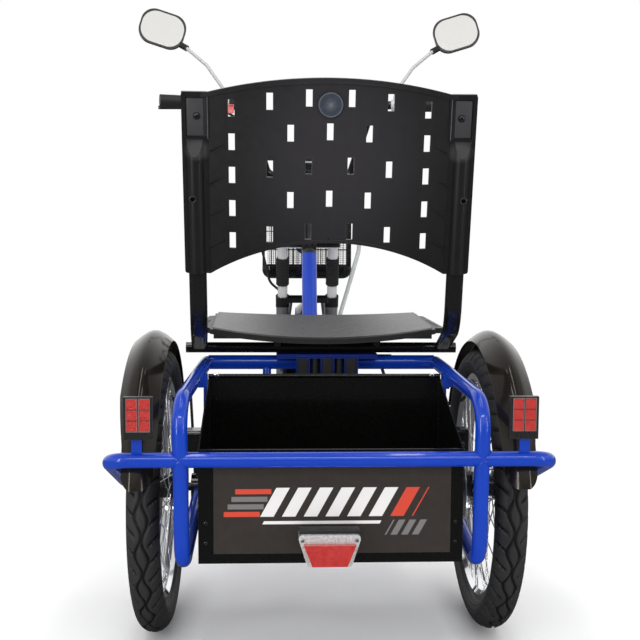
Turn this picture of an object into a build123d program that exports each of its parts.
from build123d import *
import os
from math import cos, sin, tan, radians, degrees, atan2, hypot

# Electric tricycle with two rear wheels, a steered and sprung front wheel, a seat
# with a slotted backrest and an open cargo box behind the axle.
# Millimetres. X is to the rider's right, Y is forward, Z is up from the ground.
# Lengths along Y are written from the rear axle. The finished solids are moved so
# that the middle of the whole length lies at Y = 0.

os.makedirs("parts", exist_ok=True)

# ---- driving dimensions -------------------------------------------------------

WHEEL_R = 260.0          # 20 x 2.125 tyre, outer radius
TYRE_W = 55.0
RIM_R = 213.0            # top of the rim's side walls
RIM_INNER_R = 193.0
RIM_W = 34.0
WHEELBASE = 1110.0
TRACK_X = 305.0          # rear wheel centre, from the middle of the machine

AXLE_R = 7.5
BORE_GAP = 0.05          # running fit of a hub on its axle, on the radius
HUB_R = 21.0
FLANGE_R = 28.0
SPOKE_R = 1.2
SPOKES_A_SIDE = 18
DISC_R = 80.0

REAR_REACH = 360.0       # rear face of the tail lamp, behind the rear axle
FRONT_REACH = WHEELBASE + WHEEL_R
MIDDLE_Y = (FRONT_REACH - REAR_REACH) / 2

HEAD_ANGLE = 70.0        # steering axis above the ground
FORK_OFFSET = 35.0       # front axle ahead of the steering axis
LEG_X = 71.0             # fork leg, from the middle

GUARD_Y = -326.0         # rear bumper and hoops
GUARD_Z = 385.0
GUARD_X = 344.0          # bumper's rear corners
GUARD_WIDE = 351.0       # bumper beside the wheels
BUMPER_R = 12.0
HOOP_R = 12.0
HOOP_X = 235.0
HOOP_TOP_Z = 475.0
HOOP_LOW_Z = 214.0
HOOP_BEND = 50.0

CROSS_Y = 50.0           # frame's cross tube under the seat
CROSS_Z = 489.0
CROSS_R = 13.5
CROSS_HALF = 216.0
STRUT_X = -105.0         # strut from the left stay up to the cross tube

MAIN_R = 20.0            # main tube of the frame
MAIN_HIGH = (0, 874, 800)
MAIN_KNEE = (0, 705, 330)
MAIN_LOW = (0, 560, 286)
MAIN_BACK = (0, 170, 280)

CRANK_Y = 590.0
CRANK_Z = 300.0
CRANK_LENGTH = 150.0
CHAINRING_R = 76.0
SPROCKET_R = 38.0
CHAIN_X = 52.0
SHAFT_R = 12.0           # bare shaft in the middle of the axle beam

BOX_HALF = 208.0
BOX_BACK_Y = -313.0
BOX_FRONT_Y = -75.0
BOX_LOW_Z = 217.0
BOX_BACK_Z = 398.0
BOX_FRONT_Z = 478.0
SHEET = 2.0

FENDER_R = 296.0
FENDER_W = 66.0
FENDER_SHIFT = 5.5       # fender's middle, outboard of the tyre's
FENDER_BACK = -22.0      # fender's centre, behind the axle
FENDER_DEEP = 20.0
FENDER_THICK = 2.5
FENDER_TIP_Z = 329.0     # lowest point of the tail
REFLECTOR_X = 296.0

SEAT_BACK_Y = -8.0
SEAT_FRONT_Y = 330.0
SEAT_HALF = 210.0
SEAT_Z = 558.0
SEAT_DISH = 19.0
SEAT_TUBE_Y = 63.0
SEAT_TUBE_Z = 516.0
SEAT_TUBE_R = 10.0
SEAT_TUBE_HALF = 260.0
SEAT_RAIL_LEFT = -85.0    # rails under the pan, set about the mast and its bracket
SEAT_RAIL_RIGHT = 105.0

BACK_TILT = 12.0         # backrest, leaning back from upright
BACK_LOW_Y = -139.0
BACK_LOW_Z = 668.0
BACK_HALF = 241.0
BACK_HIGH = 300.0        # along the leaning face
BACK_BOW = 26.0          # the middle lies this far behind the edges
BACK_THICK = 5.0
SLEEVE_W = 43.0          # post sleeves down both sides
SHOULDER_H = 224.0       # top of each sleeve's socket
TOP_RISE = 25.0          # arch of the upper edge
LOW_RISE = 57.0          # arch of the lower edge
POST_X = 220.5
SLOT_W = 10.5
SLOT_H = 27.0
SLOT_ROWS = (294.0, 240.0, 186.0, 131.0, 77.0)

BATTERY_LOW_Z = 355.0

BAR_Z = 1080.0
GRIP_IN_X = 268.0
GRIP_OUT_X = 388.0
BAR_R = 11.0
BAR_Y = 892.0            # clamp stretch, ahead of the steerer
BAR_LOW_Z = 895.0
BAR_FLAT = 112.0         # where the bar turns up
LEVER_X = 246.0
STALK_X = 223.0
MIRROR_X = 388.0
MIRROR_Y = 822.0
MIRROR_Z = 1272.0


# ---- helpers ------------------------------------------------------------------

def rod(start, end, radius):
    """Round bar from one point to another."""
    run = Vector(*end) - Vector(*start)
    flat = Plane(origin=start, z_dir=run)
    return flat * Cylinder(radius, run.length, align=(Align.CENTER, Align.CENTER, Align.MIN))


def bent_tube(points, radius, bend, bore=0.0):
    """Round tube along straight runs joined by tangent arcs."""
    path = FilletPolyline(*points, radius=bend)
    ring = Circle(radius)
    if bore > 0:
        ring = ring - Circle(bore)
    section = Plane(origin=path @ 0, z_dir=path % 0) * ring
    return sweep(section, path=path)


def cross_disc(x, y, z, radius, width):
    """Disc or bar whose axis runs along X, centred on the given point."""
    return Location((x, y, z), (0, 90, 0)) * Cylinder(radius, width)


def block(x, y, z, wide, deep, high):
    """Rectangular block centred on the given point."""
    return Location((x, y, z)) * Box(wide, deep, high)


def turned(section, x, y, z, sweep_angle=360.0, start=0.0):
    """Ring turned about a line along X. The section is drawn as (across, radius)."""
    ring = revolve(Plane.XZ * section, axis=Axis.X, revolution_arc=sweep_angle)
    return Location((x, y, z)) * Rotation(start, 0, 0) * ring


def mirrored(shape):
    """The same shape on the other side of the machine."""
    return mirror(shape, about=Plane.YZ)


def both_sides(shape):
    """A shape and its mirror image as one part of two solids."""
    return shape + mirrored(shape)


def largest(shape):
    """The biggest solid left after a cut."""
    return shape.solids().sort_by(SortBy.VOLUME)[-1]


def write(name, shape):
    """Move a finished sub-part to the common origin and write it."""
    export_step(Location((0, -MIDDLE_Y, 0)) * shape, f"parts/{name}.step")


# ---- steering geometry --------------------------------------------------------

AXIS_Y = -cos(radians(HEAD_ANGLE))
AXIS_Z = sin(radians(HEAD_ANGLE))
AXIS_FOOT_Y = WHEELBASE - FORK_OFFSET * AXIS_Z
AXIS_FOOT_Z = WHEEL_R + FORK_OFFSET * AXIS_Y


def on_axis(along, x=0.0, ahead=0.0):
    """Point at a distance up the steering axis, and ahead of it."""
    y = AXIS_FOOT_Y + along * AXIS_Y + ahead * AXIS_Z
    z = AXIS_FOOT_Z + along * AXIS_Z - ahead * AXIS_Y
    return (x, y, z)


def axis_bar(low, high, radius, x=0.0, ahead=0.0):
    """Round bar along the steering axis, from one height on it to another."""
    return rod(on_axis(low, x, ahead), on_axis(high, x, ahead), radius)


HEAD_LOW = 515.0
HEAD_HIGH = 660.0
HEAD_R = 22.0
HEAD_BORE = 17.0
STEERER_R = 12.7
CROWN_LOW = 478.0
CROWN_HIGH = 508.0
STEM_TOP = 700.0
BOOT_LOW = 355.0         # rubber boots, up the steering axis
BOOT_HIGH = 437.0
ARCH_LOW = 286.0
ARCH_HIGH = 320.0

BASKET_Y = 1112.0
BASKET_HALF = 130.0
BASKET_DEEP = 200.0
BASKET_LOW_Z = 609.0
BASKET_HIGH_Z = 812.0
WIRE_R = 1.1


# ---- wheels -------------------------------------------------------------------

def rim_section():
    """Double-wall rim: two side walls over a tapered well."""
    half = RIM_W / 2
    points = [
        (-half, RIM_R), (-half + 3, RIM_R), (-half + 3.5, RIM_R - 9), (half - 3.5, RIM_R - 9),
        (half - 3, RIM_R), (half, RIM_R), (half, RIM_R - 12), (half - 7, RIM_INNER_R),
        (-half + 7, RIM_INNER_R), (-half, RIM_R - 12),
    ]
    return make_face(Polyline(*points, close=True))


def tyre(x, y):
    """Tyre with a round tread, seated on the rim."""
    half_high = (WHEEL_R - RIM_R + 9) / 2
    round_part = Location((0, WHEEL_R - half_high)) * Ellipse(TYRE_W / 2, half_high)
    return turned(round_part - rim_section(), x, y, WHEEL_R)


def spoke(side, index, hub_x):
    """One crossed spoke, from the hub flange to the rim."""
    step = 360.0 / SPOKES_A_SIDE
    hub_angle = index * step + (step / 4 if side > 0 else -step / 4)
    lead = 62.0 if index % 2 else -62.0
    rim_angle = hub_angle + lead
    face = 1.6 if index % 2 else -1.6
    hub_end = (side * hub_x + face, (FLANGE_R - 3) * cos(radians(hub_angle)),
               (FLANGE_R - 3) * sin(radians(hub_angle)))
    rim_end = (side * 4.0, (RIM_INNER_R + 1) * cos(radians(rim_angle)),
               (RIM_INNER_R + 1) * sin(radians(rim_angle)))
    return rod(hub_end, rim_end, SPOKE_R)


def laced_rim(x, y, hub, hub_x=22.0):
    """Rim with its crossed spokes, cut clear of the hub."""
    spokes = [spoke(side, i, hub_x) for side in (-1, 1) for i in range(SPOKES_A_SIDE)]
    rim = turned(rim_section(), 0, 0, 0).fuse(*spokes)
    return Location((x, y, WHEEL_R)) * rim - hub


def rear_hub(side):
    """Hub shell with two flanges, bored for the fixed axle."""
    x = side * TRACK_X
    shell = cross_disc(side * 296, 0, WHEEL_R, HUB_R, 72)
    for dx in (-22, 22):
        shell += cross_disc(x + dx, 0, WHEEL_R, FLANGE_R, 4)
    shell += cross_disc(side * 332, 0, WHEEL_R, 15, 4)
    return shell - cross_disc(side * 303, 0, WHEEL_R, AXLE_R + BORE_GAP, 120)


def brake_disc(x, y, hub):
    """Brake disc bolted to the inner end of a hub, with a ring of vents."""
    disc = cross_disc(x, y, WHEEL_R, DISC_R, 2)
    for i in range(6):
        window = Rotation(60 * i, 0, 0) * block(0, 0, 45, 6, 22, 18)
        disc -= Location((x, y, WHEEL_R)) * window
    return disc - cross_disc(x, y, WHEEL_R, AXLE_R + 5, 10) - hub


def front_motor():
    """Hub motor: a drum with two spoke flanges, bored for the fixed axle."""
    drum = cross_disc(0, WHEELBASE, WHEEL_R, 62, 74)
    drum += cross_disc(-34, WHEELBASE, WHEEL_R, 70, 4)
    drum += cross_disc(34, WHEELBASE, WHEEL_R, 70, 4)
    drum += cross_disc(0, WHEELBASE, WHEEL_R, 26, 90)
    return drum - cross_disc(0, WHEELBASE, WHEEL_R, AXLE_R + BORE_GAP, 120)


def motor_spoke(side, index):
    """Short crossed spoke of the motor wheel."""
    step = 360.0 / SPOKES_A_SIDE
    hub_angle = index * step + (step / 4 if side > 0 else -step / 4)
    rim_angle = hub_angle + (26.0 if index % 2 else -26.0)
    hub_end = (side * 34, 67 * cos(radians(hub_angle)), 67 * sin(radians(hub_angle)))
    rim_end = (side * 4.0, (RIM_INNER_R + 1) * cos(radians(rim_angle)),
               (RIM_INNER_R + 1) * sin(radians(rim_angle)))
    return rod(hub_end, rim_end, SPOKE_R)


def front_laced_rim(motor):
    """Front rim with its short spokes, cut clear of the motor."""
    spokes = [motor_spoke(side, i) for side in (-1, 1) for i in range(SPOKES_A_SIDE)]
    rim = turned(rim_section(), 0, 0, 0).fuse(*spokes)
    return Location((0, WHEELBASE, WHEEL_R)) * rim - motor


# ---- frame --------------------------------------------------------------------

def main_frame():
    """Welded step-through frame: head tube, main tube, stays, mast and cross tube."""
    frame = axis_bar(HEAD_LOW, HEAD_HIGH, HEAD_R)
    frame += bent_tube([MAIN_HIGH, MAIN_KNEE, MAIN_LOW, MAIN_BACK], MAIN_R, 90)
    frame += rod((0, 868, 742), (0, 752, 470), 11)
    frame += cross_disc(0, CRANK_Y, CRANK_Z, 21, 68)
    mast = bent_tube([MAIN_BACK, (0, 95, 300), (0, CROSS_Y, CROSS_Z)], 17, 40)
    frame += mast
    frame += block(0, 200, BATTERY_LOW_Z - 2, 120, 170, 4)
    frame += rod((0, 200, 285), (0, 200, BATTERY_LOW_Z - 2), 14)
    frame += rod((-CROSS_HALF, CROSS_Y, CROSS_Z), (CROSS_HALF, CROSS_Y, CROSS_Z), CROSS_R)
    for side in (-1, 1):
        stay = bent_tube([(side * 14, 230, 281), (side * 110, 130, 272), (side * 110, 10, 262)], 11, 60)
        frame += stay
    frame += rod((STRUT_X, 8, 268), (STRUT_X, CROSS_Y, CROSS_Z), 8)
    frame -= axis_bar(HEAD_LOW - 10, HEAD_HIGH + 10, HEAD_BORE)
    frame -= cross_disc(0, CRANK_Y, CRANK_Z, 14, 100)
    return frame - axle_beam()


def axle_beam():
    """Axle beam with a bearing block at each end and the two fixed wheel axles."""
    beam = cross_disc(0, 0, WHEEL_R, 19, 440)
    beam += both_sides(cross_disc(232, 0, WHEEL_R, 25, 26))
    beam += cross_disc(0, 0, WHEEL_R, AXLE_R, 2 * (GUARD_WIDE + 13))
    beam += both_sides(cross_disc(GUARD_WIDE + 8.5, 0, WHEEL_R, 12, 8))
    waist = cross_disc(15, 0, WHEEL_R, 60, 86) - cross_disc(15, 0, WHEEL_R, SHAFT_R, 90)
    return beam - waist


def differential_case():
    """Round case on the middle of the beam that the sprocket drives."""
    case = cross_disc(10, 0, WHEEL_R, 34, 50)
    case += cross_disc(10, 0, WHEEL_R, 26, 76)
    return case - cross_disc(0, 0, WHEEL_R, SHAFT_R, 200)


def toothed(x, y, z, radius, teeth, width):
    """Chain wheel with shallow teeth."""
    wheel = cross_disc(x, y, z, radius, width)
    for i in range(teeth):
        angle = 360.0 * i / teeth
        gap = Rotation(angle, 0, 0) * Location((0, 0, radius + 1.5), (0, 90, 0)) * Cylinder(3.6, width * 3)
        wheel -= Location((x, y, z)) * gap
    return wheel


def rear_sprocket():
    """Sprocket on the differential case."""
    wheel = toothed(CHAIN_X, 0, WHEEL_R, SPROCKET_R, 19, 3)
    wheel += cross_disc(CHAIN_X, 0, WHEEL_R, 18, 8)
    return wheel - cross_disc(CHAIN_X, 0, WHEEL_R, SHAFT_R, 40)


def chain():
    """Closed chain around the chainring and the sprocket, with its links in the outline."""
    run = hypot(CRANK_Y, CRANK_Z - WHEEL_R)
    tilt = degrees(atan2(CRANK_Z - WHEEL_R, CRANK_Y))
    outer = chain_loop(run, 6.0)
    inner = chain_loop(run, 0.6)
    loop = extrude(outer - inner, 3, both=True)
    place = Plane(origin=(CHAIN_X, 0, WHEEL_R), x_dir=(0, 1, 0), z_dir=(1, 0, 0))
    return place * (Rotation(0, 0, tilt) * loop)


def chain_loop(run, spare):
    """Flat belt outline around both chain wheels, grown by a spare width."""
    big = CHAINRING_R + spare
    small = SPROCKET_R + spare
    lean = atan2(big - small, run)
    rise = sin(lean)
    flat = cos(lean)
    body = make_face(Polyline(
        (-small * rise, small * flat), (run - big * rise, big * flat),
        (run - big * rise, -big * flat), (-small * rise, -small * flat), close=True))
    return body + Circle(small) + Location((run, 0)) * Circle(big)


# ---- rear guards --------------------------------------------------------------

def bumper():
    """Bumper tube that wraps outside both wheels and drops to the axle ends."""
    points = [
        (-GUARD_WIDE, -14, WHEEL_R + 8), (-GUARD_WIDE, -120, 305), (-GUARD_X, GUARD_Y, GUARD_Z),
        (GUARD_X, GUARD_Y, GUARD_Z), (GUARD_WIDE, -120, 305), (GUARD_WIDE, -14, WHEEL_R + 8),
    ]
    tube = bent_tube(points, BUMPER_R, 30)
    for side in (-1, 1):
        lug = cross_disc(side * GUARD_WIDE, 0, WHEEL_R, 19, 7)
        tube += lug - cross_disc(side * GUARD_WIDE, 0, WHEEL_R, AXLE_R, 20)
        tube += block(side * (REFLECTOR_X + 4), GUARD_Y, GUARD_Z + 22, 16, 5, 32)
    return tube


def hoop_left():
    """Rail beside the box, bent down past the bumper to the axle, with an angle for the box."""
    points = [
        (-CROSS_HALF - 4, CROSS_Y, CROSS_Z), (-HOOP_X, GUARD_Y, HOOP_TOP_Z),
        (-HOOP_X + 3, GUARD_Y, HOOP_LOW_Z), (-HOOP_X + 6, -2, 260),
    ]
    hoop = bent_tube(points, HOOP_R, [HOOP_BEND, 34])
    hoop += block(-(HOOP_X + BOX_HALF) / 2 - 0.2, -96, 475, HOOP_X - BOX_HALF, 24, 22)
    hoop += block(-BOX_HALF - 3.2, -96, 429, 6, 24, 114)
    return hoop


def fender_edge(half, crest, deep):
    """One side-to-side line over a crowned channel, drawn as (across, radius)."""
    return Spline(
        (-half, crest - deep), (-half * 0.58, crest - deep * 0.42), (0, crest),
        (half * 0.58, crest - deep * 0.42), (half, crest - deep))


# ---- fenders ------------------------------------------------------------------

def fender_section(radius, wide, deep, thick):
    """Crowned channel, drawn as (across, radius)."""
    half = wide / 2
    outer = fender_edge(half, radius, deep)
    inner = fender_edge(half - thick, radius - thick, deep - thick)
    ends = Line(outer @ 0, inner @ 0) + Line(outer @ 1, inner @ 1)
    return make_face(outer + inner + ends)


def fender_tongue():
    """Rear view of the right fender's tapered, rounded tail."""
    x = TRACK_X + FENDER_SHIFT
    side_in = Polyline((x - 60, 700), (x - 60, 430), (x - 34, 430), (x - 30, 356))
    tip = ThreePointArc((x - 30, 356), (x - 5, FENDER_TIP_Z), (x + 20, 356))
    side_out = Polyline(
        (x + 20, 356), (x + 21, 396), (x + 34, 470), (x + 60, 470), (x + 60, 700), (x - 60, 700))
    return Plane.XZ * make_face(side_in + tip + side_out)


def rear_fender_right():
    """Fender over the right rear wheel, from low behind to the front quarter."""
    section = fender_section(FENDER_R, FENDER_W, FENDER_DEEP, FENDER_THICK)
    channel = turned(section, TRACK_X + FENDER_SHIFT, FENDER_BACK, WHEEL_R, 142, -66)
    keep = Location((0, -150, 0)) * extrude(fender_tongue(), 250)
    keep += block(TRACK_X, 150, 450, 200, 600, 600)
    return channel & keep


def front_fender():
    """Narrow fender of the front wheel, carried by the fork arch."""
    section = fender_section(WHEEL_R + 18, 62, 20, FENDER_THICK)
    return turned(section, 0, WHEELBASE, WHEEL_R, 120, -50)


def fender_stays():
    """Wire stay from the axle beam to each rear fender's front, and a peg from the bumper."""
    wire = rod((240, 20, 270), (268, 235, 413), 3)
    wire += block(271.5, 236, 413.5, 17, 10, 10)
    peg = rod((TRACK_X + FENDER_SHIFT, GUARD_Y + 4, GUARD_Z), (TRACK_X + FENDER_SHIFT, -280, GUARD_Z), 5)
    stays = largest(wire - axle_beam() - rear_fender_right())
    stays += largest(peg - bumper() - rear_fender_right())
    return both_sides(stays)


# ---- cargo box and lamps ------------------------------------------------------

def box_outline(inset):
    """Side view of the box, inset on the closed sides."""
    points = [
        (BOX_BACK_Y + inset, BOX_LOW_Z + inset), (BOX_FRONT_Y - inset, BOX_LOW_Z + inset),
        (BOX_FRONT_Y - inset, BOX_FRONT_Z), (BOX_BACK_Y + inset, BOX_BACK_Z),
    ]
    return Plane.YZ * make_face(Polyline(*points, close=True))


def cargo_box():
    """Open sheet-metal box, low at the back, with a rolled front edge."""
    outer = extrude(box_outline(0), BOX_HALF, both=True)
    room = extrude(box_outline(SHEET), BOX_HALF - SHEET, both=True)
    room += Location((0, 0, 4)) * room
    box = outer - room
    edge_y = BOX_FRONT_Y - SHEET / 2
    box += rod((-BOX_HALF, edge_y, BOX_FRONT_Z + 2), (BOX_HALF, edge_y, BOX_FRONT_Z + 2), 4)
    return box


def back_plate():
    """Thin printed plate on the back of the box."""
    return block(2, BOX_BACK_Y - 0.75, 302, 372, 1.5, 138)


def lamp_shape(half_top, half_low, low, high, deep):
    """Tapered lamp body, wider at the top."""
    points = [(-half_top, high), (-half_low, low), (half_low, low), (half_top, high)]
    face = make_face(Polyline(*points, close=True))
    return Plane.XZ * face, deep


def tail_lamp_housing():
    """Clear-edged lamp housing on the middle of the box's back."""
    face, deep = lamp_shape(50, 34, -25, 25, 34)
    body = extrude(face, deep)
    body = fillet(body.edges().filter_by(Axis.Y), 6)
    pocket, _ = lamp_shape(40, 27, -21, 12, 34)
    body -= Location((0, -31, 0)) * extrude(pocket, 10)
    return Location((-4, BOX_BACK_Y - 1.5, 247)) * body


def tail_lamp_lens():
    """Red lens set into the housing."""
    pocket, _ = lamp_shape(40, 27, -21, 12, 34)
    lens = extrude(pocket, 14.5)
    return Location((-4, BOX_BACK_Y - 1.5 - 31, 247)) * lens


def reflector_bodies():
    """Black reflector blocks on the bumper's tabs."""
    body = block(REFLECTOR_X, GUARD_Y - 8, 452, 44, 10, 66)
    body -= block(REFLECTOR_X - 9.5, GUARD_Y - 13, 457, 16, 3, 50)
    body -= block(REFLECTOR_X + 9.5, GUARD_Y - 13, 457, 16, 3, 50)
    return both_sides(body)


def reflector_lenses():
    """Two upright red bars in each block."""
    bars = block(REFLECTOR_X - 9.5, GUARD_Y - 12.5, 457, 16, 2, 50)
    bars += block(REFLECTOR_X + 9.5, GUARD_Y - 12.5, 457, 16, 2, 50)
    return both_sides(bars)


# ---- seat ---------------------------------------------------------------------

def seat_bracket():
    """Blue plate on the cross tube with three upright channels behind it."""
    plate = block(25, CROSS_Y + 18, 488, 222, 5, 28)
    plate += block(9, CROSS_Y - 4, 504, 190, 66, 8)
    for x in (-37, 9, 54):
        channel = block(x, CROSS_Y - 30, 488, 26, 20, 34)
        plate += channel - block(x, CROSS_Y - 34, 486, 21, 20, 34)
    return plate - main_frame()


def seat_springs():
    """Two black bump springs between the channels and a rubber block in each channel."""
    buffers = Location((-14, CROSS_Y - 25, 480)) * Cylinder(8, 39)
    buffers += Location((32, CROSS_Y - 25, 480)) * Cylinder(8, 39)
    for x in (-37, 9, 54):
        buffers += block(x, CROSS_Y - 31, 481, 20, 12, 40)
    return buffers - main_frame() - seat_bracket()


def seat_frame():
    """Black carrier under the seat: cross tube, two side rails and a front bar."""
    left_end = (-SEAT_TUBE_HALF, SEAT_TUBE_Y, SEAT_TUBE_Z)
    right_end = (SEAT_TUBE_HALF, SEAT_TUBE_Y, SEAT_TUBE_Z)
    tube = rod(left_end, right_end, SEAT_TUBE_R)
    for x in (SEAT_RAIL_LEFT, SEAT_RAIL_RIGHT):
        tube += rod((x, 40, 527), (x, 300, 534), 7)
    tube += rod((SEAT_RAIL_LEFT, 300, 534), (SEAT_RAIL_RIGHT, 300, 534), 7)
    tube += block(12, SEAT_TUBE_Y + 26, 519, 190, 50, 9)
    return tube - seat_shell() - seat_bracket()


def seat_profile(y, lift, half, dish, thick):
    """Cross-section of the pan: a shallow dish, drawn at one place along Y."""
    high = SEAT_Z + lift
    top = ThreePointArc((-half, high), (0, high - dish), (half, high))
    low = ThreePointArc((half, high - thick), (0, high - dish - thick), (-half, high - thick))
    right = Line((half, high), (half, high - thick))
    left = Line((-half, high - thick), (-half, high))
    return Plane(origin=(0, y, 0), x_dir=(1, 0, 0), z_dir=(0, -1, 0)) * make_face(top + right + low + left)


def seat_shell():
    """Moulded pan, dished at the back, with slotted side flanges and a flat skirt at the rear."""
    pan = loft([seat_profile(SEAT_BACK_Y, 0, SEAT_HALF, SEAT_DISH, 9),
                seat_profile(SEAT_FRONT_Y, 3, SEAT_HALF + 10, 6, 9)])
    wing = block(214, 172, SEAT_Z - 6, 38, 290, 10)
    wing = fillet(wing.edges().filter_by(Axis.Z), 12)
    for y in (70, 100, 130, 160, 190):
        wing -= block(224, y, SEAT_Z, 5, 14, 30)
    room = loft([seat_profile(SEAT_BACK_Y, 60, SEAT_HALF - 4, SEAT_DISH, 60),
                 seat_profile(SEAT_FRONT_Y, 63, SEAT_HALF + 6, 6, 60)])
    skirt = block(0, SEAT_BACK_Y + 4, SEAT_Z - 12, 2 * SEAT_HALF - 14, 6, 12)
    skirt -= Location((0, 0, -4.5)) * room
    return pan + both_sides(wing - room) + skirt


def seat_panel():
    """Thin grained panel set on the pan."""
    return loft([seat_profile(SEAT_BACK_Y + 3, 3.3, SEAT_HALF - 6, SEAT_DISH, 3),
                 seat_profile(SEAT_FRONT_Y - 3, 6.3, SEAT_HALF + 4, 6, 3)]) - seat_shell()


def back_plane():
    """Plane of the backrest's rear side: x across, y up the leaning face, z to the rear."""
    lean = radians(BACK_TILT)
    return Plane(origin=(0, BACK_LOW_Y, BACK_LOW_Z), x_dir=(1, 0, 0), z_dir=(0, -cos(lean), -sin(lean)))


def bowed_sheet(front, rear):
    """Tall sheet curved across, from one depth before the backrest's rear face to one behind it."""
    bow_r = (BACK_HALF ** 2 + BACK_BOW ** 2) / (2 * BACK_BOW)
    tall = extrude(Circle(bow_r + rear) - Circle(bow_r - front), 460)
    return Location((0, -60, BACK_BOW - bow_r)) * Rotation(-90, 0, 0) * tall


def back_outline():
    """Outline of the backrest: arched top and bottom between two straight sides."""
    half = BACK_HALF
    inner = half - SLEEVE_W
    top = ThreePointArc((-inner, BACK_HIGH), (0, BACK_HIGH + TOP_RISE), (inner, BACK_HIGH))
    low = ThreePointArc((inner, 0), (0, LOW_RISE), (-inner, 0))
    right = Polyline((inner, BACK_HIGH), (half, BACK_HIGH), (half, 0), (inner, 0))
    left = Polyline((-inner, 0), (-half, 0), (-half, BACK_HIGH), (-inner, BACK_HIGH))
    return make_face(top + right + low + left)


def edge_band(shift, low, high):
    """Strip along the outline's upper or lower edge, as a tall prism."""
    band = back_outline() - Location((0, shift, 0)) * back_outline()
    window = Location((0, (low + high) / 2)) * Rectangle(3 * BACK_HALF, high - low)
    return extrude(band & window, 60, both=True)


def back_sleeve():
    """Right sleeve: flat plate with a pocket above and a round socket below for the post."""
    x = BACK_HALF - SLEEVE_W / 2
    plate = Location((x, BACK_HIGH / 2, 0)) * Box(SLEEVE_W, BACK_HIGH, 18)
    plate = fillet(plate.edges().filter_by(Axis.Z), 5)
    plate -= Location((216.5, 260, 9)) * Box(35, 62, 6)
    plate += Location((216, 261.5, 6)) * Cylinder(6, 3)
    socket = Location((POST_X, SHOULDER_H / 2, 0.5), (90, 0, 0)) * Cylinder(16.5, SHOULDER_H)
    slope = Plane.YZ * make_face(Polyline(
        (-20, 2), (-20, 17.5), (SHOULDER_H - 29, 17.5), (SHOULDER_H, 8.9), (SHOULDER_H, 2), close=True))
    socket = socket & extrude(slope, 300)
    return plate + socket - Location((225, 127, 14)) * Cylinder(3.5, 12)


def back_fins():
    """Short slanted ribs between the panel and the right sleeve."""
    fins = []
    for low in (45, 99, 152, 205):
        fin = Location((186, low + 6, 7), (0, 0, -25)) * Box(30, 1.6, 12)
        fins.append(fin)
    return fins


def backrest_shell():
    """Slotted, bowed panel with thick lips between two post sleeves."""
    panel = bowed_sheet(BACK_THICK, 0) & extrude(back_outline(), 60, both=True)
    panel += bowed_sheet(13, 2.5) & edge_band(-8, 150, 360)
    panel += bowed_sheet(9, 1.5) & edge_band(5, -20, 120)
    for fin in back_fins():
        panel += fin + mirrored(fin)
    sleeve = back_sleeve()
    shell = panel + sleeve + mirrored(sleeve)
    shell -= Location((0, 64, BACK_BOW)) * Cylinder(2.5, 4)
    return back_plane() * (shell - slots()) - backrest_posts()


def slots():
    """Rows of upright slots that follow the arch; odd rows are set between the even ones."""
    cutter = Box(SLOT_W, SLOT_H, 160)
    holes = []
    for row, height in enumerate(SLOT_ROWS):
        columns = (-98, -34.5, 34.5, 98) if row % 2 == 0 else (-64, 0, 64)
        for x in columns + (-160, 160):
            drop = 0.00073 * x * x
            holes.append(Location((x, height - drop, 0)) * cutter)
    return holes


def backrest_cap():
    """Round plug near the top of the backrest."""
    plug = Location((0, 282.5, BACK_BOW + 1.7)) * Cylinder(20.3, 3)
    plug = fillet(plug.edges().group_by(Axis.Z)[-1], 1)
    return back_plane() * plug


def backrest_posts():
    """Flat-oval posts from the seat's cross tube up into the backrest's sleeves."""
    lean = radians(BACK_TILT)
    top = (POST_X, BACK_LOW_Y - sin(lean) * 180, BACK_LOW_Z + cos(lean) * 180)
    knee = (POST_X, BACK_LOW_Y + tan(lean) * 100, BACK_LOW_Z - 100)
    foot = (POST_X + 14, SEAT_TUBE_Y, SEAT_TUBE_Z + 1)
    path = FilletPolyline(foot, knee, top, radius=70)
    section = Plane(origin=path @ 0, x_dir=(1, 0, 0), z_dir=path % 0) * SlotOverall(30, 15)
    post = sweep(section, path=path)
    post -= rod((0, SEAT_TUBE_Y, SEAT_TUBE_Z), (SEAT_TUBE_HALF, SEAT_TUBE_Y, SEAT_TUBE_Z), SEAT_TUBE_R)
    return both_sides(largest(post))


def battery_case():
    """Battery under the seat, one plain block with rounded edges."""
    case = block(0, 200, BATTERY_LOW_Z + 65, 150, 190, 130)
    return fillet(case.edges(), 10)


def cable_bundle():
    """Three wrapped cables that run down behind the head tube and into the main tube."""
    bundle = rod(on_axis(640, 0, -48), on_axis(640, 0, -20), 5)
    for x, radius in ((0, 7.5), (-12, 6), (12, 6)):
        points = [on_axis(658, 0.7 * x, -41), on_axis(560, x, -41), (1.1 * x, 806, 716), (1.1 * x, 838, 690)]
        bundle += bent_tube(points, radius, 24)
    return largest(bundle - main_frame())


def rear_brake_cables():
    """Two thin cables from the bracket down to the brakes on the hubs."""
    right = bent_tube([(112, 68, 492), (124, 52, 455), (168, 44, 380), (229, 24, 352)], 3, 24)
    left = bent_tube([(-126, 30, 455), (-168, 34, 400), (-229, 24, 352)], 3, 24)
    return (right + left) - main_frame() - seat_bracket() - brake_calipers()


def brake_calipers():
    """Caliper over each rear disc, carried by an arm from the bearing block."""
    body = block(248, 2, 340, 50, 46, 58)
    body = fillet(body.edges().filter_by(Axis.X), 8)
    body -= block(259, 2, 325, 12, 60, 44)
    body -= block(262, 2, 300, 30, 60, 32)
    arm = block(231, 2, 300, 12, 26, 40)
    return both_sides(largest(body + arm - axle_beam()))


# ---- front end ----------------------------------------------------------------

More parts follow.
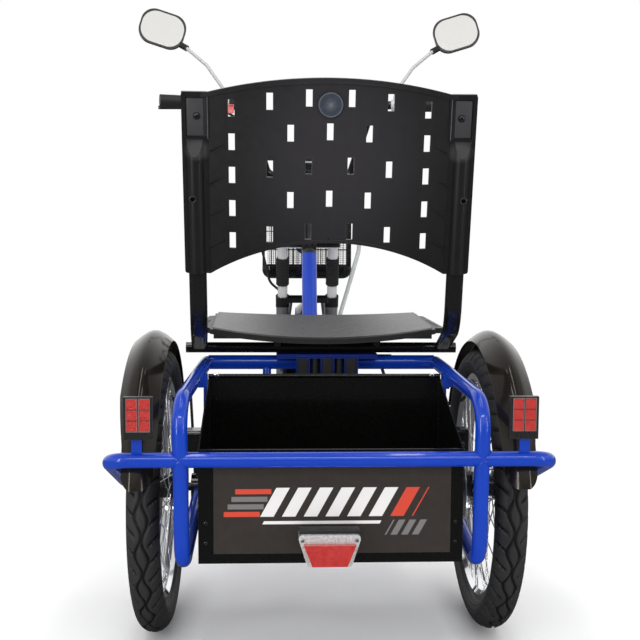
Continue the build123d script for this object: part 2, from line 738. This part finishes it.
def fork_upper():
    """Steerer, crown and the two plated inner legs."""
    fork = axis_bar(CROWN_LOW, STEM_TOP - 10, STEERER_R)
    middle = on_axis((CROWN_LOW + CROWN_HIGH) / 2, 0, FORK_OFFSET - 8)
    crown_plane = Plane(origin=middle, x_dir=(1, 0, 0), z_dir=(0, AXIS_Y, AXIS_Z))
    crown = extrude(RectangleRounded(2 * LEG_X + 38, 50, 16), (CROWN_HIGH - CROWN_LOW) / 2, both=True)
    fork += crown_plane * crown
    fork += axis_bar(CROWN_LOW, CROWN_HIGH, 17)
    for side in (-1, 1):
        fork += axis_bar(250, CROWN_LOW, 14, side * LEG_X, FORK_OFFSET)
    return fork


def fork_boots():
    """Ribbed rubber boots around the inner legs."""
    boots = None
    for side in (-1, 1):
        boot = axis_bar(BOOT_LOW, BOOT_HIGH, 17, side * LEG_X, FORK_OFFSET)
        for i in range(8):
            low = BOOT_LOW + 2 + 10 * i
            boot += axis_bar(low, low + 6, 18.5, side * LEG_X, FORK_OFFSET)
        boot -= axis_bar(BOOT_LOW - 5, BOOT_HIGH + 5, 14, side * LEG_X, FORK_OFFSET)
        boots = boot if boots is None else boots + boot
    return boots


def fork_lowers():
    """Sliding lower legs joined by an arch, with the axle and its lugs."""
    legs = None
    for side in (-1, 1):
        leg = axis_bar(10, ARCH_HIGH, 18, side * LEG_X, FORK_OFFSET)
        leg += axis_bar(ARCH_LOW, ARCH_HIGH, 19.5, side * LEG_X, FORK_OFFSET)
        leg += cross_disc(side * LEG_X, WHEELBASE, WHEEL_R, 20, 14)
        leg += rod(on_axis(180, side * 60, FORK_OFFSET + 10), on_axis(180, side * 60, FORK_OFFSET + 22), 7)
        legs = leg if legs is None else legs + leg
    arch = Plane(origin=on_axis(ARCH_HIGH - 8, 0, FORK_OFFSET), x_dir=(1, 0, 0), z_dir=(0, AXIS_Y, AXIS_Z))
    legs += arch * (Location((0, -6, 0)) * Box(2 * LEG_X, 22, 15))
    legs += cross_disc(0, WHEELBASE, WHEEL_R, AXLE_R, 2 * LEG_X + 30)
    for side in (-1, 1):
        legs -= axis_bar(200, 340, 14.1, side * LEG_X, FORK_OFFSET)
    return legs


def front_brake():
    """Rim brake: two arms on the legs' bosses, pads beside the rim and a link across the top."""
    arms = rod(on_axis(288, -46, 72), on_axis(288, 46, 72), 2.5)
    for side in (-1, 1):
        arms += rod(on_axis(180, side * 60, 57.2), on_axis(180, side * 60, 78), 7.5)
        arms += rod(on_axis(180, side * 60, 72), on_axis(292, side * 46, 72), 6)
        arms += rod(on_axis(203, side * 57, 72), on_axis(203, side * 30, 72), 4)
        arms += rod(on_axis(203, side * 31, 72), on_axis(203, side * 22.5, 72), 7)
    return arms


def stem():
    """Quill stem that clamps the bar ahead of the steerer."""
    post = axis_bar(HEAD_HIGH + 6, STEM_TOP, 15)
    post += axis_bar(HEAD_HIGH + 1, HEAD_HIGH + 6, 24) - axis_bar(HEAD_HIGH, HEAD_HIGH + 7, STEERER_R)
    post += rod(on_axis(STEM_TOP - 16), (0, BAR_Y, BAR_LOW_Z), 14)
    post -= axis_bar(HEAD_LOW, STEM_TOP - 10, STEERER_R)
    post += cross_disc(0, BAR_Y, BAR_LOW_Z, 18, 46)
    post += block(0, BAR_Y - 6, BAR_LOW_Z + 28, 34, 26, 26)
    return largest(post - handlebar())


def handlebar():
    """High-rise bar: straight clamp stretch, two rising legs, grips swept back."""
    bar = rod((-BAR_FLAT + 34, BAR_Y, BAR_LOW_Z), (BAR_FLAT - 34, BAR_Y, BAR_LOW_Z), BAR_R)
    for side in (-1, 1):
        points = [
            (side * (BAR_FLAT - 34), BAR_Y, BAR_LOW_Z), (side * BAR_FLAT, BAR_Y, BAR_LOW_Z),
            (side * 166, 818, BAR_Z - 2), (side * GRIP_OUT_X, 765, BAR_Z - 1),
        ]
        bar += bent_tube(points, BAR_R, [30, 45])
    return bar


def on_bar(x):
    """Point on the right end run of the bar."""
    part = (x - 166) / (GRIP_OUT_X - 166)
    return (x, 818 - 53 * part, BAR_Z - 2 + part)


def flip(point):
    """The same point on the left side."""
    return (-point[0], point[1], point[2])


def grips():
    """Rubber grips on both bar ends."""
    start = on_bar(GRIP_OUT_X + 2)
    end = on_bar(GRIP_IN_X)
    grip = rod(start, end, 15.5)
    grip += rod(on_bar(GRIP_IN_X + 4), end, 18)
    return both_sides(grip - handlebar())


def brake_levers():
    """Lever clamps inside the grips with blades ahead of them."""
    clamp = rod(on_bar(LEVER_X - 12), on_bar(LEVER_X + 12), 15)
    x, y, z = on_bar(LEVER_X)
    clamp += rod((x, y + 8, z), (x + 12, y + 38, z - 4), 8)
    blade = rod((x + 12, y + 38, z - 4), (x + 62, y + 34, z - 8), 6)
    blade += rod((x + 62, y + 34, z - 8), (x + 150, y - 6, z - 14), 5)
    return both_sides(clamp + blade - handlebar())


def mirror_stalks():
    """Chrome stalks from the bar up to the mirror heads."""
    x, y, z = on_bar(STALK_X)
    points = [(x, y, z + 8), (x + 3, 800, 1112), (272, 812, 1177), (330, 820, 1226)]
    stalk = bent_tube(points, 4.5, 14)
    stalk += rod(on_bar(STALK_X - 7), on_bar(STALK_X + 7), 15)
    return both_sides(stalk - handlebar())


def mirror_plane():
    """Plane of the left mirror, facing back and a little inward."""
    return Plane(origin=(-MIRROR_X, MIRROR_Y, MIRROR_Z), x_dir=(1, -0.12, -0.28), z_dir=(0.1, -1, 0.1))


def mirror_face(grow):
    """Rounded mirror outline."""
    return RectangleRounded(112 + grow, 84 + grow, 36)


def mirror_heads():
    """Shallow black mirror shells, each with a neck that takes the stalk's end."""
    shell = extrude(mirror_face(8), -22)
    shell = fillet(shell.edges().group_by(Axis.Z)[0], 12)
    shell -= Location((0, 0, -3)) * extrude(mirror_face(0), 10)
    head = mirror_plane() * shell
    neck = rod((-324, 818.5, 1221), (-354, 838, 1240), 8)
    return both_sides(head + neck) - mirror_stalks() - mirror_glasses()


def mirror_glasses():
    """Mirror glass set in each shell."""
    glass = Location((0, 0, -2.8)) * extrude(mirror_face(-1), 2)
    return both_sides(mirror_plane() * glass)


def bar_switch():
    """Throttle pod and lit push button on the left, display on the middle."""
    pod = rod(flip(on_bar(192)), flip(on_bar(211)), 16)
    x, y, z = flip(on_bar(203))
    pod += block(x, y - 15, z + 1, 15, 8, 21)
    panel = block(0, BAR_Y - 26, BAR_LOW_Z + 34, 62, 12, 40)
    panel = fillet(panel.edges().filter_by(Axis.Y), 6)
    return (pod - handlebar()) + (panel - stem())


def headlamp():
    """Round lamp ahead of the basket, on a short bracket."""
    x, y, z = 0, BASKET_Y + BASKET_DEEP / 2, 705
    shell = Location((x, y + 34, z), (90, 0, 0)) * Cylinder(30, 40)
    shell = fillet(shell.edges().group_by(Axis.Y)[0], 10)
    shell -= Location((x, y + 56, z), (90, 0, 0)) * Cylinder(26, 12)
    shell += block(x, y + 8, z, 24, 16, 30)
    return shell - front_basket()


def headlamp_lens():
    """Clear lens of the headlamp."""
    y = BASKET_Y + BASKET_DEEP / 2 + 51.8
    return Location((0, y, 705), (90, 0, 0)) * Cylinder(25.8, 3)


def basket_ring(wide, thick, z, high):
    """Rounded-square ring around the basket."""
    outer = RectangleRounded(2 * BASKET_HALF + wide, BASKET_DEEP + wide, 28)
    inner = RectangleRounded(2 * BASKET_HALF + wide - 2 * thick, BASKET_DEEP + wide - 2 * thick, 27)
    return Location((0, BASKET_Y, z)) * extrude(outer - inner, high)


def basket_wires():
    """Upright wires of the four basket walls."""
    wires = []
    low, high = BASKET_LOW_Z + 30, BASKET_HIGH_Z - 2
    for i in range(17):
        x = (i - 8) * 13.0
        for y in (BASKET_Y - BASKET_DEEP / 2 + 1.6, BASKET_Y + BASKET_DEEP / 2 - 1.6):
            wires.append(rod((x, y, low), (x, y, high), WIRE_R))
    for i in range(11):
        y = BASKET_Y + (i - 5) * 13.0
        for x in (BASKET_HALF - 1.6, -BASKET_HALF + 1.6):
            wires.append(rod((x, y, low), (x, y, high), WIRE_R))
    return wires


def front_basket():
    """Wire basket with a moulded tray, on a bracket from the fork's crown."""
    outer = Location((0, BASKET_Y, BASKET_LOW_Z)) * extrude(
        RectangleRounded(2 * BASKET_HALF, BASKET_DEEP, 28), 36)
    outer = fillet(outer.edges().group_by(Axis.Z)[0], 26)
    inner = Location((0, BASKET_Y, BASKET_LOW_Z + 3)) * extrude(
        RectangleRounded(2 * BASKET_HALF - 6, BASKET_DEEP - 6, 25), 40)
    inner = fillet(inner.edges().group_by(Axis.Z)[0], 24)
    basket = outer - inner
    rings = [basket_ring(2, 5, BASKET_HIGH_Z - 6, 6)]
    rings += [basket_ring(-1.2, 2, z, 2) for z in (BASKET_LOW_Z + 82, BASKET_LOW_Z + 136)]
    basket = basket.fuse(*rings, *basket_wires())
    rear = BASKET_Y - BASKET_DEEP / 2
    basket += block(0, rear - 1.5, 725, 110, 5, 50)
    for side in (-1, 1):
        basket += rod((side * 34, 930, 712), (side * 34, rear - 2, 712), 6)
    return basket - fork_upper()


def motor_cable():
    """Sheathed motor cable: from the stem around the basket, down the right leg to the axle."""
    points = [
        (40, 905, 905), (96, 930, 860), (150, 966, 760), (146, 982, 690), (124, 984, 610),
        on_axis(262, LEG_X + 26, FORK_OFFSET), on_axis(60, LEG_X + 26, FORK_OFFSET),
        (88, WHEELBASE - 4, 268),
    ]
    cable = bent_tube(points, 6, [20, 50, 60, 60, 50, 24])
    return largest(cable - fork_lowers() - handlebar() - stem())


def brake_cable():
    """Front brake cable: from the left lever down beside the basket to the brake's link."""
    x, y, z = on_bar(LEVER_X)
    points = [
        (-x - 6, y + 28, z - 2), (-x + 56, 872, z - 34), (-146, 960, 850), (-129, 984, 690),
        (-108, 992, 600), on_axis(300, -52, 60), on_axis(290, -45, 72),
    ]
    cable = bent_tube(points, 3.5, [26, 60, 60, 40, 14])
    return largest(cable - brake_levers() - handlebar() - front_brake() - fork_lowers() - fork_upper())


# ---- crank and pedals ---------------------------------------------------------

def crank_set():
    """Spindle with two opposed arms."""
    spindle = cross_disc(0, CRANK_Y, CRANK_Z, 8.5, 150)
    for side in (-1, 1):
        end_y = CRANK_Y + side * CRANK_LENGTH
        arm = rod((side * 70, CRANK_Y, CRANK_Z), (side * 80, end_y, CRANK_Z), 9)
        spindle += arm
        spindle += cross_disc(side * 80, end_y, CRANK_Z, 13, 16)
        spindle += cross_disc(side * 104, end_y, CRANK_Z, 5, 56)
    return spindle


def chainring():
    """Toothed chainring on the right arm."""
    ring = toothed(CHAIN_X, CRANK_Y, CRANK_Z, CHAINRING_R, 38, 3)
    ring -= cross_disc(CHAIN_X, CRANK_Y, CRANK_Z, 58, 10)
    ring += cross_disc(CHAIN_X, CRANK_Y, CRANK_Z, 26, 3)
    for i in range(5):
        arm = Rotation(72 * i, 0, 0) * block(0, 0, 42, 3, 16, 40)
        ring += Location((CHAIN_X, CRANK_Y, CRANK_Z)) * arm
    return ring - crank_set()


def pedal(side):
    """Platform pedal on its spindle."""
    y = CRANK_Y + side * CRANK_LENGTH
    body = block(side * 142, y, CRANK_Z, 88, 82, 24)
    body = fillet(body.edges().filter_by(Axis.X), 6)
    return body - cross_disc(side * 120, y, CRANK_Z, 5.05, 60)


# ---- write every sub-part -----------------------------------------------------

def write_wheels():
    for side, name in ((-1, "left"), (1, "right")):
        hub = rear_hub(side)
        write(f"rear_{name}_tyre", tyre(side * TRACK_X, 0))
        write(f"rear_{name}_rim", laced_rim(side * TRACK_X, 0, hub))
        write(f"rear_{name}_hub", hub)
        write(f"rear_{name}_disc", brake_disc(side * 259, 0, hub))
    motor = front_motor()
    write("front_tyre", tyre(0, WHEELBASE))
    write("front_rim", front_laced_rim(motor))
    write("front_motor", motor)


def write_chassis():
    write("main_frame", main_frame())
    write("axle_beam", axle_beam())
    write("differential_case", differential_case())
    write("rear_sprocket", rear_sprocket())
    write("chain", chain())
    guard = bumper()
    write("rear_bumper", guard)
    hoop = hoop_left() - guard - axle_beam() - main_frame()
    write("rear_hoops", both_sides(hoop))
    write("rear_fenders", both_sides(rear_fender_right()))
    write("fender_stays", fender_stays())
    write("cargo_box", cargo_box())
    write("back_plate", back_plate())
    write("tail_lamp_housing", tail_lamp_housing())
    write("tail_lamp_lens", tail_lamp_lens())
    write("reflector_bodies", reflector_bodies())
    write("reflector_lenses", reflector_lenses())
    write("brake_calipers", brake_calipers())
    write("rear_brake_cables", rear_brake_cables())


def write_seat():
    write("seat_bracket", seat_bracket())
    write("seat_springs", seat_springs())
    write("seat_frame", seat_frame())
    write("seat_shell", seat_shell())
    write("seat_panel", seat_panel())
    write("backrest_shell", backrest_shell())
    write("backrest_cap", backrest_cap())
    write("backrest_posts", backrest_posts())
    write("battery_case", battery_case())
    write("cable_bundle", cable_bundle())


def write_front():
    write("fork_upper", fork_upper())
    write("fork_lowers", fork_lowers())
    write("fork_boots", fork_boots())
    write("front_brake", front_brake())
    write("stem", stem())
    write("handlebar", handlebar())
    write("grips", grips())
    write("brake_levers", brake_levers())
    write("mirror_stalks", mirror_stalks())
    write("mirror_heads", mirror_heads())
    write("mirror_glasses", mirror_glasses())
    write("bar_switch", bar_switch())
    write("headlamp", headlamp())
    write("headlamp_lens", headlamp_lens())
    write("front_basket", front_basket())
    write("front_fender", front_fender())
    write("motor_cable", motor_cable())
    write("brake_cable", brake_cable())


def write_drive():
    write("crank_set", crank_set())
    write("chainring", chainring())
    write("pedal_left", pedal(-1))
    write("pedal_right", pedal(1))


write_wheels()
write_chassis()
write_seat()
write_front()
write_drive()
